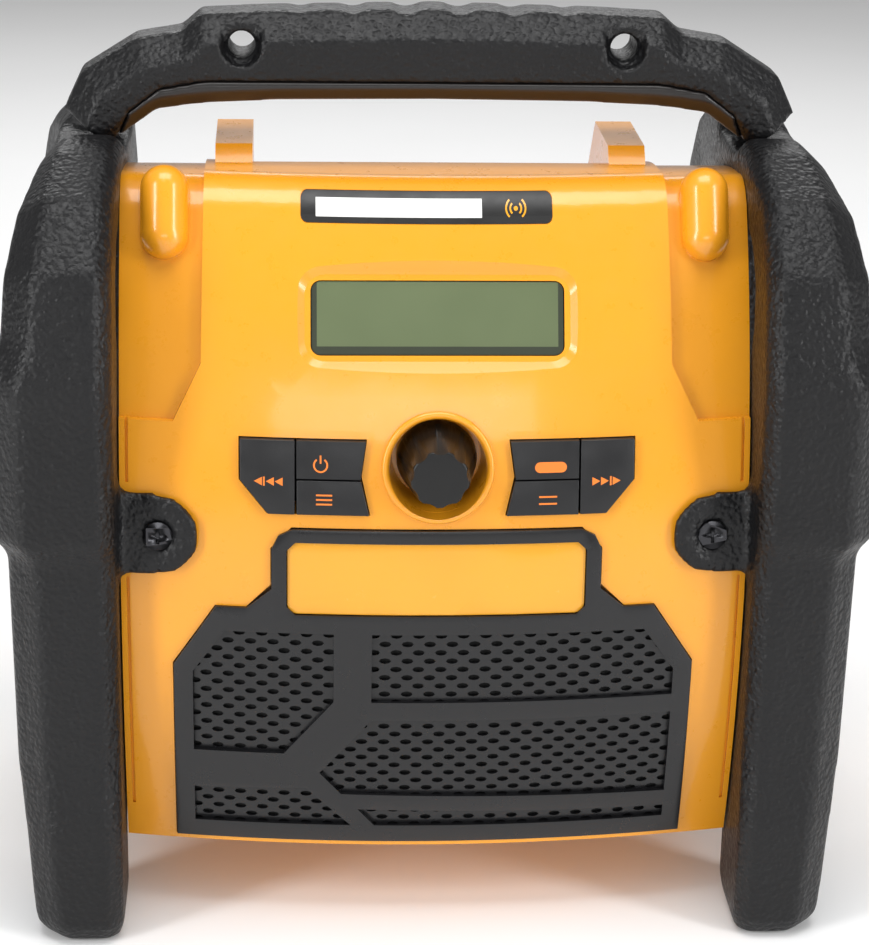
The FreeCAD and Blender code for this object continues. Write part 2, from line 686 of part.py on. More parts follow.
bay = rear_hollow(BAY_HALF_WIDTH, BAY_BOTTOM_Z, BAY_TOP_Z, BAY_DEPTH, 0)
bay_wall = rear_hollow(BAY_HALF_WIDTH, BAY_BOTTOM_Z, BAY_TOP_Z, BAY_DEPTH, WALL).common(outer)
storage = rear_hollow(BOX_HALF_WIDTH, BOX_BOTTOM_Z, BOX_TOP_Z, BOX_DEPTH, 0)
storage_wall = rear_hollow(BOX_HALF_WIDTH, BOX_BOTTOM_Z, BOX_TOP_Z, BOX_DEPTH, WALL).common(outer)
rear_housing = rear_housing.fuse([bay_wall, storage_wall]).cut([bay, storage])

RAIL_Y = HOUSING_REAR_Y - 22.0
rails = []
for sign in (-1, 1):
    near = sign * BAY_HALF_WIDTH
    far = sign * (BAY_HALF_WIDTH - RAIL_REACH)
    rails.append(block(min(near, far), max(near, far), RAIL_Y, RAIL_Y + 5, BAY_BOTTOM_Z + 4, BAY_TOP_Z))
rear_housing = rear_housing.fuse(rails)

terminal_block = block(-16, 16, HOUSING_REAR_Y - BAY_DEPTH + 0.05, HOUSING_REAR_Y - BAY_DEPTH + 12, 92, BAY_TOP_Z - 0.05)
blade_slots = [block(x - 0.5, x + 0.5, HOUSING_REAR_Y - BAY_DEPTH + 2, HOUSING_REAR_Y, 80, 98) for x in (-10, -3.5, 3.5, 10)]
blades = [block(x - 0.4, x + 0.4, HOUSING_REAR_Y - BAY_DEPTH + 3, HOUSING_REAR_Y - BAY_DEPTH + 11, 84, 97.9)
          for x in (-10, -3.5, 3.5, 10)]
terminal_block = terminal_block.cut(blade_slots)

# Storage-box door on a pin along its lower edge, with a catch at the top
HINGE_Z = BOX_BOTTOM_Z + 4.2
HINGE_Y = HOUSING_REAR_Y - 4.2
DOOR_HALF = BOX_HALF_WIDTH - 0.8
LUG_WIDTH = 8.0
door = block(-DOOR_HALF, DOOR_HALF, HOUSING_REAR_Y - DOOR_THICKNESS - 0.4, HOUSING_REAR_Y - 0.4,
             HINGE_Z + BARREL_RADIUS + 0.6, BOX_TOP_Z - 0.8)
door_knuckle = rod_x(BARREL_RADIUS, -DOOR_HALF + LUG_WIDTH + FIT, DOOR_HALF - LUG_WIDTH - FIT, HINGE_Y, HINGE_Z)
door_web = block(-DOOR_HALF + LUG_WIDTH + FIT, DOOR_HALF - LUG_WIDTH - FIT,
                 HOUSING_REAR_Y - DOOR_THICKNESS - 0.4, HOUSING_REAR_Y - 1.0, HINGE_Z, HINGE_Z + BARREL_RADIUS + 1.0)
CATCH_HEIGHT = 8.6
CATCH_TRAVEL = 3.0
CATCH_HALF_WIDTH = 12.0
catch_top_z = BOX_TOP_Z - 0.4
catch_bottom_z = catch_top_z - CATCH_HEIGHT
catch_notch = block(-CATCH_HALF_WIDTH - FIT, CATCH_HALF_WIDTH + FIT, HOUSING_REAR_Y - 10, HOUSING_REAR_Y + 5,
                    catch_bottom_z - CATCH_TRAVEL - FIT, BOX_TOP_Z + 5)
storage_door = door.fuse([door_knuckle, door_web]).cut(
    [catch_notch, rod_x(HINGE_RADIUS + SHAFT_CLEARANCE, -100, 100, HINGE_Y, HINGE_Z)])
hinge_pin = rod_x(HINGE_RADIUS, -BOX_HALF_WIDTH - 2, BOX_HALF_WIDTH + 2, HINGE_Y, HINGE_Z)
lugs = []
for sign in (-1, 1):
    near = sign * (BOX_HALF_WIDTH + 0.5)
    far = sign * (DOOR_HALF - LUG_WIDTH + FIT)
    lug = block(min(near, far), max(near, far), HINGE_Y - BARREL_RADIUS, HINGE_Y + 1.0, BOX_BOTTOM_Z - 0.5, HINGE_Z)
    lugs.append(lug.fuse(rod_x(BARREL_RADIUS, min(near, far), max(near, far), HINGE_Y, HINGE_Z)))
rear_housing = rear_housing.fuse(lugs).cut([rod_x(HINGE_RADIUS, -BOX_HALF_WIDTH - 2, BOX_HALF_WIDTH + 2, HINGE_Y, HINGE_Z)])
door_catch = block(-CATCH_HALF_WIDTH, CATCH_HALF_WIDTH, HOUSING_REAR_Y - 4.2, HOUSING_REAR_Y - 0.6,
                   catch_bottom_z, catch_top_z)

# Sockets: headphone-size input inside the box, power inlet low on the back
AUX_X = 50.0
AUX_Z = 140.0
BOX_BACK_Y = HOUSING_REAR_Y - BOX_DEPTH
aux_hole = rod_y(4.0, BOX_BACK_Y - 10, BOX_BACK_Y + 5, AUX_X, AUX_Z)
aux_jack = rod_y(3.9, BOX_BACK_Y - 15, BOX_BACK_Y + 1.5, AUX_X, AUX_Z).cut(
    rod_y(AUX_RADIUS, BOX_BACK_Y - 12.5, BOX_BACK_Y + 5, AUX_X, AUX_Z))
INLET_X = 64.0
INLET_Z = 48.0
inlet_hole = rod_y(5.6, HOUSING_REAR_Y - 10, HOUSING_REAR_Y + 5, INLET_X, INLET_Z)
dc_inlet = rod_y(5.5, HOUSING_REAR_Y - 12, HOUSING_REAR_Y - 0.5, INLET_X, INLET_Z).cut(
    rod_y(INLET_RADIUS, HOUSING_REAR_Y - 10, HOUSING_REAR_Y + 5, INLET_X, INLET_Z))
dc_inlet = dc_inlet.fuse(rod_y(1.0, HOUSING_REAR_Y - 11, HOUSING_REAR_Y - 2.5, INLET_X, INLET_Z))
rear_housing = rear_housing.cut([aux_hole, inlet_hole])

# Electronics
main_board = block(-70, 70, BOARD_Y, BOARD_Y + 1.6, 118, 170)
left_membrane = block(-60, -19, membrane_y, BOARD_Y - SEAM_GAP, KEY_BOTTOM_Z - 3, KEY_TOP_Z + 3)
key_membrane = [left_membrane, mirrored(left_membrane)]

def speaker_pieces(x):
    """Frame, cone and magnet of one loudspeaker, turned about its axis."""
    axis_start = vec(x, 0, SPEAKER_Z)
    rim = SPEAKER_RADIUS
    front = BAFFLE_Y + SEAM_GAP
    frame_side = [(rim - 5, front), (rim, front), (rim, front + 2), (rim - 4, front + 3), (MAGNET_RADIUS, front + 18),
                  (9.0, front + 18), (9.0, front + 16), (MAGNET_RADIUS - 2, front + 16), (rim - 6, front + 3)]
    cone_side = [(rim - 6.2, front + 0.5), (rim - 6.2, front + 1.3), (9.0, front + 13), (0, front + 13), (0, front + 12), (8.4, front + 12)]

    def turned(side):
        points = [vec(x + r, y, SPEAKER_Z) for r, y in side]
        return face_of(points).revolve(axis_start, vec(0, 1, 0), 360)

    magnet = rod_y(MAGNET_RADIUS, front + 18.05, front + 32, x, SPEAKER_Z)
    return turned(frame_side), turned(cone_side), magnet


speakers = [speaker_pieces(x) for x in (-SPEAKER_X, SPEAKER_X)]
amplifier_board = block(-60, 60, -20, -18.4, 40, 110)

# Screws
cage_screw = rod_y(SCREW_HEAD_RADIUS, screw_y - 3.6, screw_y - 1.45, CAGE_SCREW_X, CAGE_SCREW_Z).fuse(
    rod_y(SCREW_SHANK_RADIUS - 0.25, screw_y - 1.5, screw_y + 12, CAGE_SCREW_X, CAGE_SCREW_Z))
cage_screws = group([cage_screw, mirrored(cage_screw)])

save("front_housing", front_housing)
save("rear_housing", rear_housing)
save("right_roll_cage", right_cage)
save("left_roll_cage", mirrored(right_cage))
save("carry_handle", carry_handle)
save("handle_underside", handle_underside)
save("speaker_grille", speaker_grille)
save("badge_plate", badge_plate)
save("label_plate", label_plate)
save("lcd_window", lcd_window)
save("lcd_gasket", lcd_gasket)
save("lcd_module", lcd_module)
for name, key in keys.items():
    save(name, key)
save("key_membrane", group(key_membrane))
save("volume_knob", volume_knob)
save("encoder_shaft", encoder_shaft)
save("encoder_body", encoder_body)
save("main_board", main_board)
save("amplifier_board", amplifier_board)
for index, side in enumerate(("left", "right")):
    frame_piece, cone_piece, magnet_piece = speakers[index]
    save(side + "_speaker_frame", frame_piece)
    save(side + "_speaker_cone", cone_piece)
    save(side + "_speaker_magnet", magnet_piece)
save("terminal_block", terminal_block)
save("terminal_blades", group(blades))
save("storage_door", storage_door)
save("door_hinge_pin", hinge_pin)
save("door_catch", door_catch)
save("aux_jack", aux_jack)
save("dc_inlet", dc_inlet)
save("cage_screws", cage_screws)
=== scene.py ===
# %% [markdown]
# # A jobsite radio, dressed around its construction model
# The construction model gives every piece at its real size and place. This lesson gives each surface its
# finish, models the rubber and moulded pieces that need soft edges, and sets up a plain studio.
# We load the frame first, because every later step reads its boxes and bodies.

# %% Load the frame
import math

import bpy
from mathutils import Matrix, Vector


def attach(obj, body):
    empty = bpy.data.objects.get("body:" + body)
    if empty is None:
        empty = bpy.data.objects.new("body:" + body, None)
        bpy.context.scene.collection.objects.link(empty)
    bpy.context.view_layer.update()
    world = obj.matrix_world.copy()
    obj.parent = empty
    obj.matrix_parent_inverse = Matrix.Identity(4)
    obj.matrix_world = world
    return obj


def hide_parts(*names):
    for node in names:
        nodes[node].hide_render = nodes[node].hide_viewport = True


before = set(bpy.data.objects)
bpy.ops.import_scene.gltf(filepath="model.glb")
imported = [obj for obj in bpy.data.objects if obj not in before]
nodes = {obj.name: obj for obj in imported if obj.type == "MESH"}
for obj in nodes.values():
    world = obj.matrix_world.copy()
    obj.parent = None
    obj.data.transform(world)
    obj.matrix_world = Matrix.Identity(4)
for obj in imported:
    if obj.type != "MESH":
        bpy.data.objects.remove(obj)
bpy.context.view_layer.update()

MM = 0.001
MERGE_DISTANCE = 0.01 * MM

# %% [markdown]
# ## Small helpers
# Operators in Blender act on whatever is selected, so we always clear the selection first.
# A finished piece rides on a body, takes its material and may stand for nodes of the frame.

# %% Selection and hand-over helpers


def clear_selection():
    """Leaves edit mode and deselects every object."""
    if bpy.context.mode != "OBJECT":
        bpy.ops.object.mode_set(mode="OBJECT")
    bpy.ops.object.select_all(action="DESELECT")


def activate(obj):
    """Makes obj the only selected object and the active one."""
    clear_selection()
    obj.select_set(True)
    bpy.context.view_layer.objects.active = obj
    return obj


def apply_place(obj):
    """Moves the object's place, turn and size into its mesh."""
    activate(obj)
    bpy.ops.object.transform_apply(location=True, rotation=True, scale=True)
    return obj


def apply_modifier(obj, kind, **settings):
    """Adds one modifier with its settings and applies it at once."""
    activate(obj)
    modifier = obj.modifiers.new(kind.title(), kind)
    for name, value in settings.items():
        setattr(modifier, name, value)
    bpy.ops.object.modifier_apply(modifier=modifier.name)
    return obj


def edit_all(obj, operator, **settings):
    """Runs one edit-mode operator on the whole mesh."""
    activate(obj)
    bpy.ops.object.mode_set(mode="EDIT")
    bpy.ops.mesh.select_all(action="SELECT")
    operator(**settings)
    bpy.ops.object.mode_set(mode="OBJECT")
    return obj


def smooth(obj, degrees):
    """Smooth shading that stays sharp on edges steeper than the angle."""
    activate(obj)
    bpy.ops.object.shade_smooth_by_angle(angle=math.radians(degrees))
    return obj


def place_piece(obj, body, material, replaced=()):
    """Names what the piece rides on, its material and the nodes it stands for."""
    obj.data.materials.clear()
    obj.data.materials.append(material)
    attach(obj, body)
    if replaced:
        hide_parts(*replaced)
    print(obj.name, len(obj.data.polygons), "faces")
    return obj


# %% [markdown]
# ## The camera
# The photograph was taken from about 850 mm away, a little to the left and 19.5 degrees above level.
# We build the camera's axes from those angles, so that the render lines up with the photograph.

# %% Camera
CAMERA_YAW = math.radians(3.5)
CAMERA_RISE = math.radians(19.5)
CAMERA_ROLL = math.radians(1.1)
CAMERA_DISTANCE = 0.850
CAMERA_TARGET = Vector((0.0037, 0.0, 0.118))
LENS_MM = 102.6

backwards = Vector((-math.sin(CAMERA_YAW) * math.cos(CAMERA_RISE),
                    -math.cos(CAMERA_YAW) * math.cos(CAMERA_RISE),
                    math.sin(CAMERA_RISE)))
level_right = (-backwards).cross(Vector((0, 0, 1))).normalized()
level_up = level_right.cross(-backwards)
camera_right = level_right * math.cos(CAMERA_ROLL) + level_up * math.sin(CAMERA_ROLL)
camera_up = level_up * math.cos(CAMERA_ROLL) - level_right * math.sin(CAMERA_ROLL)
camera_data = bpy.data.cameras.new("camera")
camera_data.lens = LENS_MM
camera_data.clip_start = 0.01
camera = bpy.data.objects.new("camera", camera_data)
bpy.context.collection.objects.link(camera)
turn = Matrix((camera_right, camera_up, backwards)).transposed().to_4x4()
camera.matrix_world = Matrix.Translation(CAMERA_TARGET + backwards * CAMERA_DISTANCE) @ turn
bpy.context.scene.camera = camera
bpy.context.scene.view_settings.view_transform = "Standard"
print("camera at", [round(v, 3) for v in camera.location])

# %% [markdown]
# ## Writing shaders as sums
# Wrapping a socket in a small class lets us write shader maths as ordinary expressions.
# Any other node comes from one method that takes its type, its settings and its inputs.

# %% Shader helpers


class Sock:
    """A shader socket that can be added, multiplied and compared."""

    def __init__(self, finish, socket):
        self.finish = finish
        self.socket = socket

    def _math(self, operation, *values):
        return self.finish.function(operation, *values)

    def __add__(self, other):
        return self._math("ADD", self, other)

    __radd__ = __add__

    def __mul__(self, other):
        return self._math("MULTIPLY", self, other)

    __rmul__ = __mul__

    def __sub__(self, other):
        return self._math("SUBTRACT", self, other)

    def __rsub__(self, other):
        return self._math("SUBTRACT", other, self)

    def __gt__(self, other):
        return self._math("GREATER_THAN", self, other)

    def __lt__(self, other):
        return self._math("LESS_THAN", self, other)


class Finish:
    """A material with one Principled shader and the nodes that feed it."""

    def __init__(self, name, **constants):
        self.material = bpy.data.materials.new(name)
        self.material.use_nodes = True
        self.tree = self.material.node_tree
        self.shader = self.tree.nodes["Principled BSDF"]
        for socket, value in constants.items():
            self.shader.inputs[socket.replace("_", " ")].default_value = value
        self.place = self.node("ShaderNodeTexCoord", {}, {}, "Object")

    def node(self, kind, settings, inputs, output=0):
        made = self.tree.nodes.new(kind)
        for name, value in settings.items():
            if name == "stops":
                set_stops(made, value)
            else:
                setattr(made, name, value)
        for name, value in inputs.items():
            if isinstance(value, Sock):
                self.tree.links.new(value.socket, made.inputs[name])
            else:
                made.inputs[name].default_value = value
        return Sock(self, made.outputs[output])

    def noise(self, scale, detail=2.0, roughness=0.5):
        inputs = {"Vector": self.place, "Scale": scale, "Detail": detail, "Roughness": roughness}
        return self.node("ShaderNodeTexNoise", {}, inputs)

    def pebbles(self, scale):
        inputs = {"Vector": self.place, "Scale": scale}
        return self.node("ShaderNodeTexVoronoi", {"feature": "SMOOTH_F1"}, inputs, "Distance")

    def function(self, operation, *values):
        return self.node("ShaderNodeMath", {"operation": operation}, dict(enumerate(values)))

    def ramp(self, factor, stops):
        return self.node("ShaderNodeValToRGB", {"stops": stops}, {"Fac": factor})

    def range(self, value, low, high, to_low, to_high):
        inputs = {"Value": value, "From Min": low, "From Max": high, "To Min": to_low, "To Max": to_high}
        return self.node("ShaderNodeMapRange", {}, inputs)

    def blend_colours(self, factor, first, second):
        inputs = {0: factor, 6: first, 7: second}
        return self.node("ShaderNodeMix", {"data_type": "RGBA"}, inputs, 2)

    def bump(self, height, strength, distance):
        inputs = {"Height": height, "Strength": strength, "Distance": distance}
        return self.node("ShaderNodeBump", {}, inputs)

    def feed(self, socket, value):
        self.tree.links.new(value.socket, self.shader.inputs[socket])


def set_stops(made, stops):
    """Places the stops of a colour ramp."""
    ramp = made.color_ramp
    while len(ramp.elements) < len(stops):
        ramp.elements.new(0.5)
    for element, (position, colour) in zip(ramp.elements, stops):
        element.position = position
        element.color = colour


def rgba(red, green, blue):
    """An opaque colour."""
    return (red, green, blue, 1.0)


def grey(level):
    """An opaque grey."""
    return rgba(level, level, level)


# %% [markdown]
# ## The studio
# A pale floor and backdrop, one large soft lamp overhead, and two tall side lamps that draw
# the long highlights on the barrel's shoulders. The world is plain and pale.

# %% Floor, world and lamps
FLOOR_SIZE = 8.0
bpy.ops.mesh.primitive_plane_add(size=FLOOR_SIZE, location=(0, 0, 0))
floor = bpy.context.active_object
floor.name = "studio_floor"
apply_place(floor)
floor_finish = Finish("studio_paper", Roughness=0.75)
paper_tone = floor_finish.noise(6.0)
floor_finish.feed("Base Color", floor_finish.ramp(paper_tone, [(0.3, grey(0.94)), (0.7, grey(0.96))]))
floor.data.materials.append(floor_finish.material)

world = bpy.data.worlds.new("studio_world")
bpy.context.scene.world = world
world.use_nodes = True
world_tree = world.node_tree
backdrop = world_tree.nodes["Background"]
backdrop.inputs["Color"].default_value = rgba(1.0, 1.0, 1.0)
light_path = world_tree.nodes.new("ShaderNodeLightPath")
seen = world_tree.nodes.new("ShaderNodeMath")
seen.operation = "MAXIMUM"
world_tree.links.new(light_path.outputs["Is Camera Ray"], seen.inputs[0])
world_tree.links.new(light_path.outputs["Is Transmission Ray"], seen.inputs[1])
level = world_tree.nodes.new("ShaderNodeMapRange")
WORLD_LIGHT = 0.33
WORLD_WHITE = 1.0
level.inputs["To Min"].default_value = WORLD_LIGHT
level.inputs["To Max"].default_value = WORLD_WHITE
world_tree.links.new(seen.outputs[0], level.inputs["Value"])
world_tree.links.new(level.outputs[0], backdrop.inputs["Strength"])


def soft_lamp(name, place, aim, width, height, watts):
    """A rectangular lamp at place that faces aim."""
    lamp_data = bpy.data.lights.new(name, "AREA")
    lamp_data.shape = "RECTANGLE"
    lamp_data.size = width
    lamp_data.size_y = height
    lamp_data.energy = watts
    lamp = bpy.data.objects.new(name, lamp_data)
    bpy.context.collection.objects.link(lamp)
    facing = (Vector(aim) - Vector(place)).to_track_quat("-Z", "Y")
    lamp.matrix_world = Matrix.Translation(place) @ facing.to_matrix().to_4x4()
    print(name, watts, "W")


soft_lamp("overhead", (0.0, -0.25, 1.25), (0, 0, 0.12), 0.9, 0.6, 9)
soft_lamp("left_wall", (-1.0, -0.75, 0.55), (0, 0, 0.13), 0.22, 1.0, 9)
soft_lamp("right_wall", (1.0, -0.75, 0.55), (0, 0, 0.13), 0.22, 1.0, 8.5)
soft_lamp("front_fill", (0.0, -1.7, 0.55), (0, 0, 0.12), 0.8, 0.3, 3.2)
soft_lamp("back_rim", (0.0, 1.1, 0.9), (0, 0, 0.15), 1.2, 0.5, 6)

# %% [markdown]
# ## Finishes
# Each finish is a short function's worth of nodes: a colour that varies a little, a roughness that
# carries handling marks, and a bump for the grain that the mould left.

# %% Housing plastic
YELLOW = (0.84, 0.335, 0.012)
FLOW_SCALE = 9.0
RUB_SCALE = 160.0


def moulded_plastic(name, colour, roughness, grain_scale, grain_depth, coat=0.0, sheen=0.5):
    """Moulded plastic: slight flow variation, fine grain and faint rub marks."""
    finish = Finish(name, Coat_Weight=coat, Coat_Roughness=0.08, Specular_IOR_Level=sheen)
    flow = finish.noise(FLOW_SCALE, 3.0)
    darker = rgba(*[c * 0.93 for c in colour])
    lighter = rgba(*[min(1.0, c * 1.05) for c in colour])
    finish.feed("Base Color", finish.ramp(flow, [(0.3, darker), (0.7, lighter)]))
    marks = finish.noise(RUB_SCALE, 4.0, 0.7)
    finish.feed("Roughness", finish.range(marks, 0.3, 0.75, roughness * 0.85, roughness * 1.2))
    grain = finish.noise(grain_scale, 2.0)
    finish.feed("Normal", finish.bump(grain, 0.25, grain_depth))
    return finish.material


housing_yellow = moulded_plastic("housing_yellow", YELLOW, 0.30, 900.0, 0.00006, coat=0.5)
badge_yellow = moulded_plastic("badge_yellow", (0.80, 0.36, 0.02), 0.24, 700.0, 0.00003, coat=0.3)
grille_black = moulded_plastic("grille_black", (0.0065, 0.0065, 0.0075), 0.30, 1200.0, 0.00008)
liner_black = moulded_plastic("liner_black", (0.012, 0.010, 0.0095), 0.33, 900.0, 0.00006)
dark_plastic = moulded_plastic("dark_plastic", (0.010, 0.010, 0.010), 0.4, 900.0, 0.00006)
knob_black = moulded_plastic("knob_black", (0.004, 0.004, 0.004), 0.34, 1500.0, 0.0001, sheen=0.4)
key_black = moulded_plastic("key_black", (0.005, 0.005, 0.006), 0.40, 1500.0, 0.0001)
board_green = moulded_plastic("board_green", (0.02, 0.16, 0.06), 0.4, 500.0, 0.00003)

print("moulded plastics made")

# %% [markdown]
# ## Rubber
# The roll cages and the grip are rubber with a leathery grain. Rounded cells give the pebbles, and two
# noises make them uneven, because an even grain would look like a printed pattern.

# %% Rubber with a leathery pebble grain
RUBBER_DARK = (0.0030, 0.0030, 0.0036)
RUBBER_LIGHT = (0.0055, 0.0055, 0.0062)


def pebbled_rubber(name):
    """Rubber overmould: rounded pebbles of two sizes and a slight sheen on their tops."""
    finish = Finish(name, Specular_IOR_Level=0.34)
    warp = finish.noise(260.0, 2.0)
    pebbles = finish.pebbles(700.0)
    coarse = finish.noise(520.0, 3.0, 0.6)
    height = pebbles * -0.9 + coarse * 0.8 + warp * 0.3
    shade = finish.noise(14.0, 3.0)
    finish.feed("Base Color", finish.ramp(shade, [(0.3, rgba(*RUBBER_DARK)), (0.7, rgba(*RUBBER_LIGHT))]))
    finish.feed("Roughness", finish.range(coarse, 0.3, 0.7, 0.33, 0.52))
    finish.feed("Normal", finish.bump(height, 0.8, 0.0006))
    return finish.material


rubber_black = pebbled_rubber("rubber_black")

print("rubber made")

# %% [markdown]
# ## Metals
# The screws, the shaft and the contacts are metal. A metal's colour is in its reflections,
# so only the wear changes its roughness and darkens it a little.

# %% Metals


def plain_metal(name, colour, roughness):
    """Metal with fine wear in its colour and roughness."""
    finish = Finish(name, Metallic=1.0)
    wear = finish.noise(300.0, 4.0, 0.7)
    finish.feed("Roughness", finish.range(wear, 0.3, 0.7, roughness * 0.7, roughness * 1.3))
    worn = rgba(*[c * 0.85 for c in colour])
    finish.feed("Base Color", finish.ramp(wear, [(0.3, worn), (0.8, rgba(*colour))]))
    return finish.material


steel = plain_metal("steel", (0.55, 0.55, 0.57), 0.3)
black_zinc = plain_metal("black_zinc", (0.06, 0.06, 0.065), 0.35)
brass = plain_metal("brass", (0.75, 0.58, 0.28), 0.28)

print("metals made")

# %% [markdown]
# ## Dressing the frame
# Every piece of the frame gets a finish, inner ones too, so that nothing is bare when a door opens.
# Their meshes stay as they are.

# %% Dress the frame's own pieces
CAD_FINISHES = {
    "front_housing": housing_yellow, "rear_housing": housing_yellow, "storage_door": housing_yellow,
    "left_roll_cage": rubber_black, "right_roll_cage": rubber_black, "carry_handle": rubber_black,
    "handle_underside": liner_black, "speaker_grille": grille_black, "badge_plate": badge_yellow,
    "label_plate": dark_plastic, "lcd_gasket": dark_plastic, "lcd_module": dark_plastic,
    "key_membrane": dark_plastic, "volume_knob": knob_black,
    "encoder_shaft": steel, "encoder_body": steel, "main_board": board_green, "amplifier_board": board_green,
    "terminal_block": dark_plastic, "terminal_blades": brass, "door_hinge_pin": steel,
    "door_catch": grille_black, "aux_jack": dark_plastic, "dc_inlet": dark_plastic, "cage_screws": black_zinc,
}
for name in nodes:
    if name.startswith("key_") and name != "key_membrane":
        CAD_FINISHES[name] = key_black
    if "speaker_frame" in name or "speaker_cone" in name:
        CAD_FINISHES[name] = dark_plastic
    if "speaker_magnet" in name:
        CAD_FINISHES[name] = steel


def dress_node(obj, material):
    """Puts the material into every slot of a frame node, without touching its mesh."""
    for slot in obj.material_slots:
        slot.material = material


for name, material in CAD_FINISHES.items():
    dress_node(nodes[name], material)
print("dressed", len(CAD_FINISHES), "nodes")

# %% [markdown]
# ## Soft rubber from hard facets
# The roll cages and the grip are thick rubber, and rubber has no sharp edges.
# We could bevel every edge by hand, but the facets meet at odd angles. Instead we copy the frame's piece,
# rebuild it as even small squares with a voxel remesh, and relax those squares a few times.
# The flat faces stay flat, and every edge becomes a soft roll.

# %% Copying and softening a piece of the frame


def merged_copy(node, name):
    """A copy of a frame node with its loose triangles merged into one skin."""
    obj = nodes[node].copy()
    obj.data = nodes[node].data.copy()
    obj.name = name
    bpy.context.collection.objects.link(obj)
    return edit_all(obj, bpy.ops.mesh.remove_doubles, threshold=MERGE_DISTANCE)


def softened(node, name, voxel, rounds, finish):
    """The node as soft rubber: even squares, relaxed for a number of rounds."""
    obj = merged_copy(node, name)
    apply_modifier(obj, "REMESH", mode="VOXEL", voxel_size=voxel)
    apply_modifier(obj, "SMOOTH", factor=0.5, iterations=rounds)
    activate(obj)
    bpy.ops.object.shade_smooth()
    return place_piece(obj, "root", finish, [node])


CAGE_VOXEL = 1.5 * MM
GRIP_VOXEL = 0.9 * MM
CAGE_ROUNDS = 12
GRIP_ROUNDS = 10
LINER_ROUNDS = 4
for side in ("left", "right"):
    softened(side + "_roll_cage", side + "_cage_rubber", CAGE_VOXEL, CAGE_ROUNDS, rubber_black)
softened("carry_handle", "handle_grip", GRIP_VOXEL, GRIP_ROUNDS, rubber_black)
softened("handle_underside", "handle_liner_shell", GRIP_VOXEL, LINER_ROUNDS, liner_black)

# %% [markdown]
# ## Rounded edges on hard plastic
# Keys, the knob, the badge and the storage door are hard, with small, even roundings. Here a bevel
# is right:
# we merge the copied triangles, dissolve the flat ones into whole faces, and bevel what is left.

# %% Bevelled copies
FLAT_ANGLE = math.radians(1.5)


def bevelled(node, name, width, finish, body="root", degrees=30, segments=3):
    """The node with its sharp edges rounded by an even bevel."""
    obj = merged_copy(node, name)
    edit_all(obj, bpy.ops.mesh.dissolve_limited, angle_limit=FLAT_ANGLE)
    apply_modifier(obj, "BEVEL", width=width, segments=segments, limit_method="ANGLE",
                   angle_limit=math.radians(degrees), use_clamp_overlap=True)
    smooth(obj, 40)
    return place_piece(obj, body, finish, [node])


KEY_NAMES = ("key_previous", "key_power", "key_menu", "key_mode", "key_enter", "key_next")
for key in KEY_NAMES:
    bevelled(key, key + "_cap", 0.5 * MM, key_black, body=key)
bevelled("volume_knob", "volume_knob_cap", 0.25 * MM, knob_black, body="volume_knob",
         degrees=25, segments=2)
bevelled("badge_plate", "badge_face", 0.35 * MM, badge_yellow)
bevelled("storage_door", "storage_door_panel", 0.4 * MM, housing_yellow,
         body="storage_door")

# %% [markdown]
# ## The barrel's surface as a formula
# Everything printed or fitted on the front follows the housing's barrel shape: an arc from the side
# and a flatter arc from above. One short function gives the depth at any place on the front,
# and another presses a flat mesh onto it.

# %% Wrapping things on the front
FRONT_DEPTH = -0.082
WIDEST_HEIGHT = 0.105
UPPER_ARC = 0.2115
LOWER_ARC = 0.309
PLAN_ARC = 0.440


def barrel_depth(x, z):
    """How far forward the housing's front lies at x and z."""
    arc = UPPER_ARC if z > WIDEST_HEIGHT else LOWER_ARC
    lean = arc - math.sqrt(arc ** 2 - (z - WIDEST_HEIGHT) ** 2)
    return FRONT_DEPTH + lean + x * x / (2 * PLAN_ARC)


def wrap(obj, lift):
    """Presses a mesh drawn on the XZ plane onto the barrel; its own depth is kept on top of lift."""
    for vertex in obj.data.vertices:
        x, y, z = vertex.co
        vertex.co.y = barrel_depth(x, z) - lift + y
    obj.data.update()
    return obj


FACE_FRONT = (math.pi / 2, 0, 0)


def outline_face(corners, depth):
    """One flat face at depth, with its corners given as x and z."""
    clear_selection()
    bpy.ops.mesh.primitive_circle_add(vertices=len(corners), radius=0.01, fill_type="NGON",
                                      rotation=FACE_FRONT)
    face = bpy.context.active_object
    apply_place(face)
    for vertex, (x, z) in zip(face.data.vertices, corners):
        vertex.co = (x, depth, z)
    return face


def outline_prism(corners, thickness):
    """A cutter with an outline on the XZ plane, extruded towards the back."""
    prism = outline_face(corners, 0)
    prism.name = "cutter"
    edit_all(prism, bpy.ops.mesh.extrude_region_move, TRANSFORM_OT_translate={"value": (0, thickness, 0)})
    return edit_all(prism, bpy.ops.mesh.normals_make_consistent, inside=False)


def cut_with(obj, cutter, operation):
    """Boolean of obj with a cutter, which is then thrown away."""
    apply_modifier(obj, "BOOLEAN", object=cutter, operation=operation, solver="EXACT")
    bpy.data.objects.remove(cutter)
    return obj


# %% [markdown]
# ## The speaker grille
# The real grille is one moulding: a frame with raised bars, a badge surround, and sunk fields full of
# small oval holes in staggered rows. We cut the frame out of a curved sheet with booleans.
# The holes are far too many to cut one by one, so we model a single cell round one oval hole,
# array it into rows, and press the whole sheet onto the barrel.

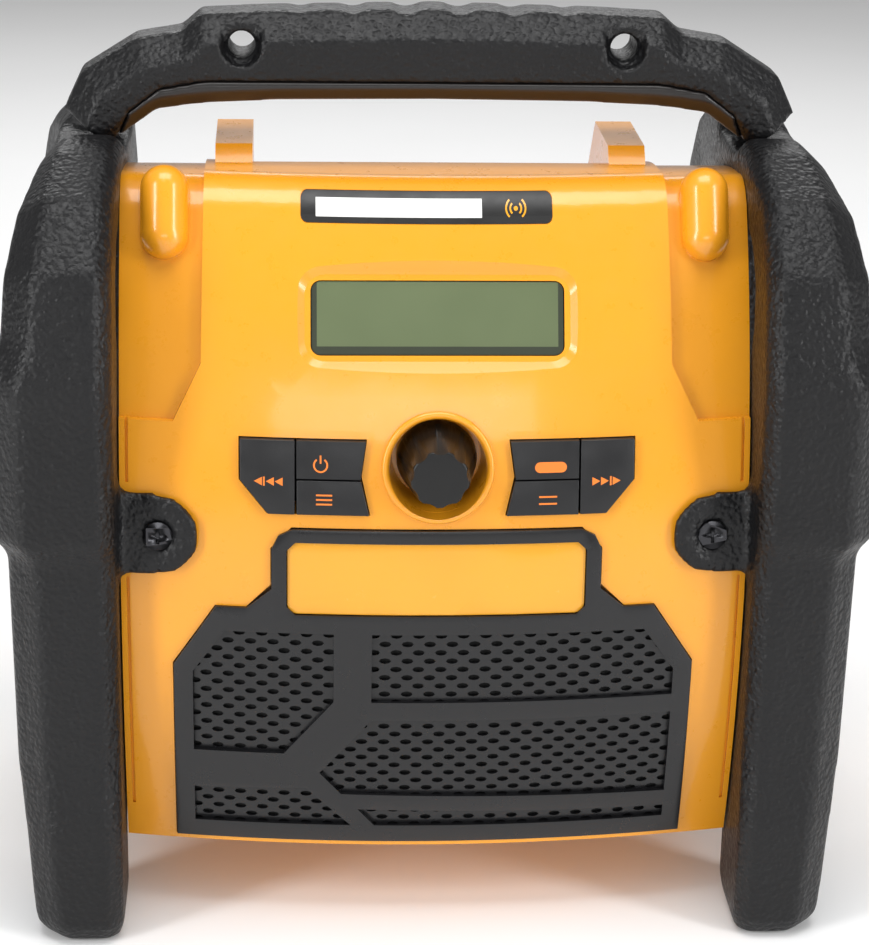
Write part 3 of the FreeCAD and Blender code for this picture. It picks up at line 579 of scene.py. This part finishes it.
# %% Grille frame
GRILLE_HALF = 0.076
GRILLE_FLOOR = 0.026
GRILLE_SHOULDER = 0.105
BADGE_HALF = 0.0475
BADGE_TOP = 0.129
SHEET_LIFT = 1.2 * MM
SHEET_THICKNESS = 3.2 * MM
SHEET_SIZE = (2.2 * GRILLE_HALF, 0.13, 1)
SHEET_MIDDLE = 0.079
CUTTER_LENGTH = 0.08
CUTTER_FRONT = -0.11
SHEET_ACROSS = 36
SHEET_UP = 24
CORNER_START = 0.084
OUTER_CORNER_START = 0.086
OUTER_SHOULDER = 0.0635
BADGE_FOOT = 0.007
BADGE_CHAMFER = 0.006
BADGE_ROUND = 0.002


def mirrored_outline(right):
    """Completes an outline from its right half."""
    return right + [(-x, z) for x, z in reversed(right)]


grille_outline = mirrored_outline([
    (GRILLE_HALF, GRILLE_FLOOR), (GRILLE_HALF, OUTER_CORNER_START), (OUTER_SHOULDER, GRILLE_SHOULDER),
    (BADGE_HALF + BADGE_FOOT, GRILLE_SHOULDER), (BADGE_HALF, GRILLE_SHOULDER + BADGE_CHAMFER),
    (BADGE_HALF, BADGE_TOP - BADGE_CHAMFER), (BADGE_HALF - BADGE_ROUND, BADGE_TOP - BADGE_ROUND),
    (BADGE_HALF - BADGE_CHAMFER, BADGE_TOP)])


def curved_sheet(name, lift, thickness):
    """A sheet of the barrel's shape, lifted off the housing, thickness towards the back."""
    clear_selection()
    bpy.ops.mesh.primitive_grid_add(x_subdivisions=SHEET_ACROSS, y_subdivisions=SHEET_UP, size=1,
                                    rotation=FACE_FRONT)
    sheet = bpy.context.active_object
    sheet.name = name
    sheet.scale = SHEET_SIZE
    sheet.location = (0, 0, SHEET_MIDDLE)
    apply_place(sheet)
    wrap(sheet, lift)
    apply_modifier(sheet, "SOLIDIFY", thickness=thickness, offset=-1.0)
    return sheet


def deep_cutter(corners):
    """A prism through the whole front, cut to an outline."""
    prism = outline_prism(corners, CUTTER_LENGTH)
    prism.location = (0, CUTTER_FRONT, 0)
    return apply_place(prism)


grille = curved_sheet("grille_moulding", SHEET_LIFT, SHEET_THICKNESS)
cut_with(grille, deep_cutter(grille_outline), "INTERSECT")
print("outline:", len(grille.data.polygons), "faces")

# %% [markdown]
# ## Fields and bars
# Five sunk fields leave the bars between them: one upright, one slanted and three level ones.
# Each field is an outline on the front, and cutting it out of the sheet leaves its bars standing.

# %% Sunk fields and the badge window
FIELD_SIDE = GRILLE_HALF - 0.0055
FIELD_ROOF = GRILLE_SHOULDER - 0.0075
FIELD_FLOOR = GRILLE_FLOOR + 0.006
FIELD_SHOULDER = 0.061
POST_LEFT = -0.0295
POST_RIGHT = -0.0185
UPPER_BAR_TOP = 0.0755
UPPER_BAR_FOOT = 0.0695
LEFT_BAR_TOP = 0.0575
grille_fields = [
    [(-FIELD_SIDE, LEFT_BAR_TOP), (-0.044, LEFT_BAR_TOP), (POST_LEFT, UPPER_BAR_TOP), (POST_LEFT, FIELD_ROOF),
     (-FIELD_SHOULDER, FIELD_ROOF), (-FIELD_SIDE, CORNER_START)],
    [(-FIELD_SIDE, FIELD_FLOOR), (-0.024, FIELD_FLOOR), (-0.0375, 0.0455), (-FIELD_SIDE, 0.0445)],
    [(POST_RIGHT, UPPER_BAR_TOP), (FIELD_SIDE, UPPER_BAR_TOP), (FIELD_SIDE, CORNER_START),
     (FIELD_SHOULDER, FIELD_ROOF), (POST_RIGHT, FIELD_ROOF)],
    [(-0.027, 0.0435), (FIELD_SIDE, 0.0415), (FIELD_SIDE, UPPER_BAR_FOOT), (POST_RIGHT, UPPER_BAR_FOOT),
     (-0.0335, 0.051)],
    [(-0.017, FIELD_FLOOR), (FIELD_SIDE, FIELD_FLOOR), (FIELD_SIDE, 0.036), (-0.022, 0.038)],
]
for field in grille_fields:
    cut_with(grille, deep_cutter(field), "DIFFERENCE")
PLATE_HALF = 0.0432
PLATE_CORNER = 0.0025
PLATE_FLOOR = 0.1032
PLATE_ROOF = 0.1252
badge_window = mirrored_outline([
    (PLATE_HALF - PLATE_CORNER, PLATE_FLOOR), (PLATE_HALF, PLATE_FLOOR + PLATE_CORNER),
    (PLATE_HALF, PLATE_ROOF - PLATE_CORNER), (PLATE_HALF - PLATE_CORNER, PLATE_ROOF)])
cut_with(grille, deep_cutter(badge_window), "DIFFERENCE")
apply_modifier(grille, "BEVEL", width=0.55 * MM, segments=2, limit_method="ANGLE",
               angle_limit=math.radians(40))
smooth(grille, 35)
print("frame:", len(grille.data.polygons), "faces")

# %% [markdown]
# ## Perforation
# One cell is an oval hole with a rectangle round it. Its copy, half a cell across and one cell up, gives
# the stagger, and two arrays fill the fields. The sheet is trimmed before it is bent onto the barrel.

# %% Grille perforation
HOLE_HALF_WIDTH = 1.75 * MM
HOLE_HALF_HEIGHT = 0.92 * MM
CELL_WIDTH = 6.5 * MM
CELL_HEIGHT = 2.7 * MM


def select_where(obj, chosen):
    """Selects the vertices for which chosen(place) is true; call it in object mode."""
    for vertex in obj.data.vertices:
        vertex.select = bool(chosen(vertex.co))
    for edge in obj.data.edges:
        edge.select = all(obj.data.vertices[i].select for i in edge.vertices)
    for face in obj.data.polygons:
        face.select = all(obj.data.vertices[i].select for i in face.vertices)


def perforated_cell():
    """One cell: an oval hole in a small rectangle."""
    clear_selection()
    bpy.ops.mesh.primitive_circle_add(vertices=8, radius=1, rotation=FACE_FRONT)
    cell = bpy.context.active_object
    cell.scale = (HOLE_HALF_WIDTH, HOLE_HALF_HEIGHT, 1)
    apply_place(cell)
    bpy.ops.object.mode_set(mode="EDIT")
    bpy.ops.mesh.select_all(action="SELECT")
    bpy.ops.mesh.extrude_edges_move()
    grow = (CELL_WIDTH / 2 / HOLE_HALF_WIDTH, 1, CELL_HEIGHT / 2 / HOLE_HALF_HEIGHT)
    bpy.ops.transform.resize(value=grow, center_override=(0, 0, 0))
    bpy.ops.object.mode_set(mode="OBJECT")

    def on_slant(place):
        """True for the four outer points between the oval's axes."""
        beyond = max(abs(place.x) / CELL_WIDTH, abs(place.z) / CELL_HEIGHT) * 2
        return beyond > 0.6 and abs(place.x) > 0.1 * CELL_WIDTH and abs(place.z) > 0.3 * CELL_HEIGHT

    select_where(cell, on_slant)
    bpy.ops.object.mode_set(mode="EDIT")
    bpy.ops.mesh.select_mode(type="VERT")
    bpy.ops.transform.resize(value=(math.sqrt(2), 1, math.sqrt(2)), center_override=(0, 0, 0))
    bpy.ops.object.mode_set(mode="OBJECT")
    return cell


sheet_cell = perforated_cell()
shifted = sheet_cell.copy()
shifted.data = sheet_cell.data.copy()
bpy.context.collection.objects.link(shifted)
shifted.location = (CELL_WIDTH / 2, 0, CELL_HEIGHT)
apply_place(shifted)
activate(sheet_cell)
shifted.select_set(True)
bpy.ops.object.join()
ROW_COUNT = 14
COLUMN_COUNT = 24
for count, offset in ((COLUMN_COUNT, (CELL_WIDTH, 0, 0)), (ROW_COUNT, (0, 0, 2 * CELL_HEIGHT))):
    apply_modifier(sheet_cell, "ARRAY", count=count, use_relative_offset=False, use_constant_offset=True,
                   constant_offset_displace=offset, use_merge_vertices=True, merge_threshold=0.02 * MM)
sheet_cell.location = (-COLUMN_COUNT * CELL_WIDTH / 2 + CELL_WIDTH / 4, 0, GRILLE_FLOOR + 0.5 * MM)
apply_place(sheet_cell)
perforation = sheet_cell
perforation.name = "perforation"
INNER_SIDE = GRILLE_HALF - 2.0 * MM
END_MARGIN = 3 * MM
CORNER_MARGIN = 2.5 * MM
trims = [((INNER_SIDE, 0, 0), (1, 0, 0)), ((-INNER_SIDE, 0, 0), (-1, 0, 0)),
         ((0, 0, FIELD_ROOF + END_MARGIN), (0, 0, 1)), ((0, 0, FIELD_FLOOR - END_MARGIN), (0, 0, -1))]
for way in (1, -1):
    trims.append(((way * (FIELD_SIDE + CORNER_MARGIN), 0, CORNER_START), (way * 0.82, 0, 0.57)))
for point, normal in trims:
    edit_all(perforation, bpy.ops.mesh.bisect, plane_co=point, plane_no=normal, clear_outer=True)
edit_all(perforation, bpy.ops.mesh.normals_make_consistent, inside=False)
if perforation.data.polygons[0].normal.y > 0:
    perforation.data.flip_normals()
PERFORATION_SINK = 0.3 * MM
PERFORATION_THICKNESS = 0.9 * MM
wrap(perforation, -PERFORATION_SINK)
apply_modifier(perforation, "SOLIDIFY", thickness=PERFORATION_THICKNESS, offset=-1.0)
smooth(perforation, 30)
print("perforation:", len(perforation.data.polygons), "faces")

# %% [markdown]
# ## Cloth and painted shade behind the holes
# Speakers of this kind have a dark cloth behind the grille. The photograph can't show it, so it is
# plain: one thin sheet with a fine weave, which keeps the eye from looking into the housing. Its near-black
# colour is also painted shade, standing in for the dark inside of the housing seen through the holes.

# %% Join the grille and lay a dark cloth behind it, which is also painted shade
activate(grille)
perforation.select_set(True)
bpy.ops.object.join()
place_piece(grille, "root", grille_black, ["speaker_grille"])
CLOTH_SINK = 1.7 * MM
CLOTH_THICKNESS = 0.3 * MM
CLOTH_HALF = 0.072
CLOTH_FLOOR = 0.030
CLOTH_ROOF = 0.101
cloth_shade_sheet = curved_sheet("speaker_cloth_painted_shade", -CLOTH_SINK, CLOTH_THICKNESS)
cloth_outline = mirrored_outline([
    (CLOTH_HALF, CLOTH_FLOOR), (CLOTH_HALF, CORNER_START), (FIELD_SHOULDER, CLOTH_ROOF)])
cut_with(cloth_shade_sheet, deep_cutter(cloth_outline), "INTERSECT")
shade_cloth_finish = Finish("speaker_weave_painted_shade")
weave_inputs = {"Vector": shade_cloth_finish.place, "Scale": 700.0}
weave = shade_cloth_finish.node("ShaderNodeTexWave", {"wave_type": "BANDS"}, weave_inputs)
# The near-black weave colour is partly painted shade: it darkens everything seen through the grille holes.
shade_cloth_finish.feed("Base Color", shade_cloth_finish.ramp(weave, [(0.3, grey(0.004)), (0.7, grey(0.010))]))
shade_cloth_finish.feed("Roughness", shade_cloth_finish.range(weave, 0, 1, 0.8, 0.95))
place_piece(cloth_shade_sheet, "root", shade_cloth_finish.material)

# %% [markdown]
# ## The display
# The radio is switched off in the photograph, so its liquid-crystal panel shows no figures: an even
# grey-green with a darker border, behind a glossy window. The window's face is the only part that
# is seen, so one finish paints the panel and its border by place, under a clear coat.

# %% Display finish
DISPLAY_MIDDLE = 0.188
PANEL_HALF_WIDTH = 0.0345
PANEL_HALF_HEIGHT = 0.0088

display_finish = Finish("display_off", Coat_Weight=1.0, Coat_Roughness=0.03)
across, height = [display_finish.node("ShaderNodeSeparateXYZ", {}, {0: display_finish.place}, axis)
                  for axis in ("X", "Z")]
off_side = display_finish.function("ABSOLUTE", across) > PANEL_HALF_WIDTH
off_end = display_finish.function("ABSOLUTE", height - DISPLAY_MIDDLE) > PANEL_HALF_HEIGHT
border = display_finish.function("MAXIMUM", off_side, off_end)
panel_tone = display_finish.noise(30.0, 2.0)
panel = display_finish.ramp(panel_tone, [(0.3, rgba(0.105, 0.135, 0.065)), (0.7, rgba(0.125, 0.158, 0.078))])
display_finish.feed("Base Color", display_finish.blend_colours(border, panel, rgba(0.035, 0.042, 0.026)))
smear = display_finish.noise(90.0, 4.0, 0.7)
display_finish.feed("Roughness", display_finish.range(smear, 0.3, 0.7, 0.12, 0.22))
dress_node(nodes["lcd_window"], display_finish.material)
print("display dressed")

# %% [markdown]
# ## Printed signs
# The keys carry small orange signs and the label a pale panel with a wave sign. They are printed, so
# they are thin films: we draw each sign flat from triangles, bars and arcs, project it onto
# the piece below with a shrinkwrap, and give it a paint film's thickness. Words are left out.

# %% Shapes that signs are made of
FILM = 0.06 * MM
DRAWING_DEPTH = -0.12


def bar(x, z, width, height):
    """Corner points of an upright bar centred at x and z."""
    return [(x - width / 2, z - height / 2), (x + width / 2, z - height / 2),
            (x + width / 2, z + height / 2), (x - width / 2, z + height / 2)]


def arrow_head(x, z, size, way):
    """A triangle that points left or right."""
    back = x - way * size / 2
    return [(back, z - size * 0.52), (x + way * size / 2, z), (back, z + size * 0.52)]


def arc_band(x, z, radius, thickness, start, end, steps=16):
    """A band along an arc, with its angles in degrees."""
    angles = [math.radians(start + (end - start) * i / steps) for i in range(steps + 1)]
    outer = radius + thickness / 2
    inner = radius - thickness / 2
    outside = [(x + outer * math.cos(angle), z + outer * math.sin(angle)) for angle in angles]
    inside = [(x + inner * math.cos(angle), z + inner * math.sin(angle)) for angle in angles]
    return outside + inside[::-1]


def pill(x, z, half_width, half_height, steps=10):
    """A bar with round ends."""
    points = []
    for way, start in ((1, -90), (-1, 90)):
        for i in range(steps + 1):
            angle = math.radians(start + 180 * i / steps)
            points.append((x + way * (half_width - half_height) + half_height * math.cos(angle),
                           z + half_height * math.sin(angle)))
    return points


def printed_sign(name, outlines, target, body, material):
    """Joins flat outlines into one film printed on the front of target."""
    pieces = [outline_face(corners, DRAWING_DEPTH) for corners in outlines]
    activate(pieces[0])
    for flat in pieces[1:]:
        flat.select_set(True)
    if len(pieces) > 1:
        bpy.ops.object.join()
    sign = bpy.context.active_object
    sign.name = name
    edit_all(sign, bpy.ops.mesh.remove_doubles, threshold=MERGE_DISTANCE)
    apply_modifier(sign, "TRIANGULATE")
    apply_modifier(sign, "SHRINKWRAP", target=target, wrap_method="PROJECT", use_project_y=True,
                   use_positive_direction=True, use_negative_direction=False, offset=FILM)
    edit_all(sign, bpy.ops.mesh.normals_make_consistent, inside=False)
    if sum(face.normal.y for face in sign.data.polygons) > 0:
        sign.data.flip_normals()
    apply_modifier(sign, "SOLIDIFY", thickness=FILM * 0.8, offset=-1.0)
    return place_piece(sign, body, material)


# %% [markdown]
# ## Signs on the keys
# Two skip signs, a power sign, a list sign, a pill and two bars. Each rides on its own key,
# so that it goes down with the key when the key is pressed.

# %% Signs on the keys
print_orange = moulded_plastic("print_orange", (0.80, 0.20, 0.02), 0.5, 900.0, 0.00002)
print_white = moulded_plastic("print_white", (0.80, 0.80, 0.78), 0.4, 900.0, 0.00002)
SKIP_X = 0.0483
SKIP_Z = 0.1429
ARROW = 2.3 * MM
ARROW_SHIFTS = (3.0 * MM, -0.4 * MM, -2.9 * MM)
STOP_SHIFT = 1.3 * MM
STROKE = 0.5 * MM
POWER_X = -0.0335
POWER_Z = 0.1478
LIST_X = -0.0325
LIST_Z = 0.1380
LIST_STEP = 1.3 * MM
PILL_X = 0.0322
PILL_Z = 0.1472
ENTER_X = 0.0315
ENTER_Z = (0.1388, 0.1368)


def skip_sign(side):
    """Three arrow heads and a bar that point away from the knob."""
    heads = [arrow_head(side * (SKIP_X + shift), SKIP_Z, ARROW, side) for shift in ARROW_SHIFTS]
    stop = bar(side * (SKIP_X + STOP_SHIFT), SKIP_Z, STROKE, 2.6 * MM)
    return [heads[0], stop] + heads[1:]


key_signs = {
    "key_previous": skip_sign(-1),
    "key_next": skip_sign(1),
    "key_power": [arc_band(POWER_X, POWER_Z, 1.9 * MM, STROKE, 125, 415),
                  bar(POWER_X, POWER_Z + 1.6 * MM, STROKE, 2.3 * MM)],
    "key_menu": [bar(LIST_X, LIST_Z + row * LIST_STEP, 4.6 * MM, STROKE) for row in (-1, 0, 1)],
    "key_mode": [pill(PILL_X, PILL_Z, 4.6 * MM, 1.5 * MM)],
    "key_enter": [bar(ENTER_X, z, 5.2 * MM, STROKE) for z in ENTER_Z],
}
for key, outlines in key_signs.items():
    printed_sign(key + "_sign", outlines, bpy.data.objects[key + "_cap"], key, print_orange)

# %% [markdown]
# ## Print on the label
# The label has a pale panel and a wave sign. The label curves, so the panel is drawn as
# small bars side by side, which are merged into one film that can follow the curve.

# %% Print on the label
LABEL_Z = 0.216
PANEL_COLUMNS = 12
PANEL_ROWS = 6
PANEL_WIDTH = 0.0475
PANEL_MIDDLE_X = -0.0110
TILE_WIDTH = PANEL_WIDTH / PANEL_COLUMNS
TILE_HEIGHT = 0.8 * MM
label_panel = []
for column in range(PANEL_COLUMNS):
    tile_x = PANEL_MIDDLE_X - PANEL_WIDTH / 2 + (column + 0.5) * TILE_WIDTH
    for row in range(PANEL_ROWS):
        tile_z = LABEL_Z + (row - (PANEL_ROWS - 1) / 2) * TILE_HEIGHT
        label_panel.append(bar(tile_x, tile_z, TILE_WIDTH, TILE_HEIGHT))
printed_sign("label_panel", label_panel, nodes["label_plate"], "root", print_white)

WAVE_X = 0.0225
WAVE_RADII = (1.6 * MM, 2.8 * MM)
waves = [arc_band(WAVE_X, LABEL_Z, radius, STROKE, start, start + 100)
         for radius in WAVE_RADII for start in (-50, 130)]
waves.append(pill(WAVE_X, LABEL_Z, 0.61 * MM, 0.6 * MM))
printed_sign("label_waves", waves, nodes["label_plate"], "root", badge_yellow)

# %% [markdown]
# ## Screws with a cross recess
# Two dark screws hold the roll cages' tabs. The drive is a cross pressed into the head,
# so we cut two crossed bars out of a copy of the screws.

# %% Screw drives
SCREW_X = 0.080
SCREW_Z = 0.126
CROSS_LENGTH = 4.6 * MM
CROSS_WIDTH = 1.0 * MM
CUT_THICKNESS = 3.0 * MM
CUT_DEPTH = 1.5 * MM
screws = merged_copy("cage_screws", "cage_screws_driven")
screw_front = min(vertex.co.y for vertex in screws.data.vertices)
for screw_x in (-SCREW_X, SCREW_X):
    for width, height in ((CROSS_LENGTH, CROSS_WIDTH), (CROSS_WIDTH, CROSS_LENGTH)):
        slot_cutter = outline_prism(bar(screw_x, SCREW_Z, width, height), CUT_THICKNESS)
        slot_cutter.location = (0, screw_front - CUT_THICKNESS + CUT_DEPTH, 0)
        cut_with(screws, apply_place(slot_cutter), "DIFFERENCE")
smooth(screws, 40)
place_piece(screws, "root", black_zinc, ["cage_screws"])
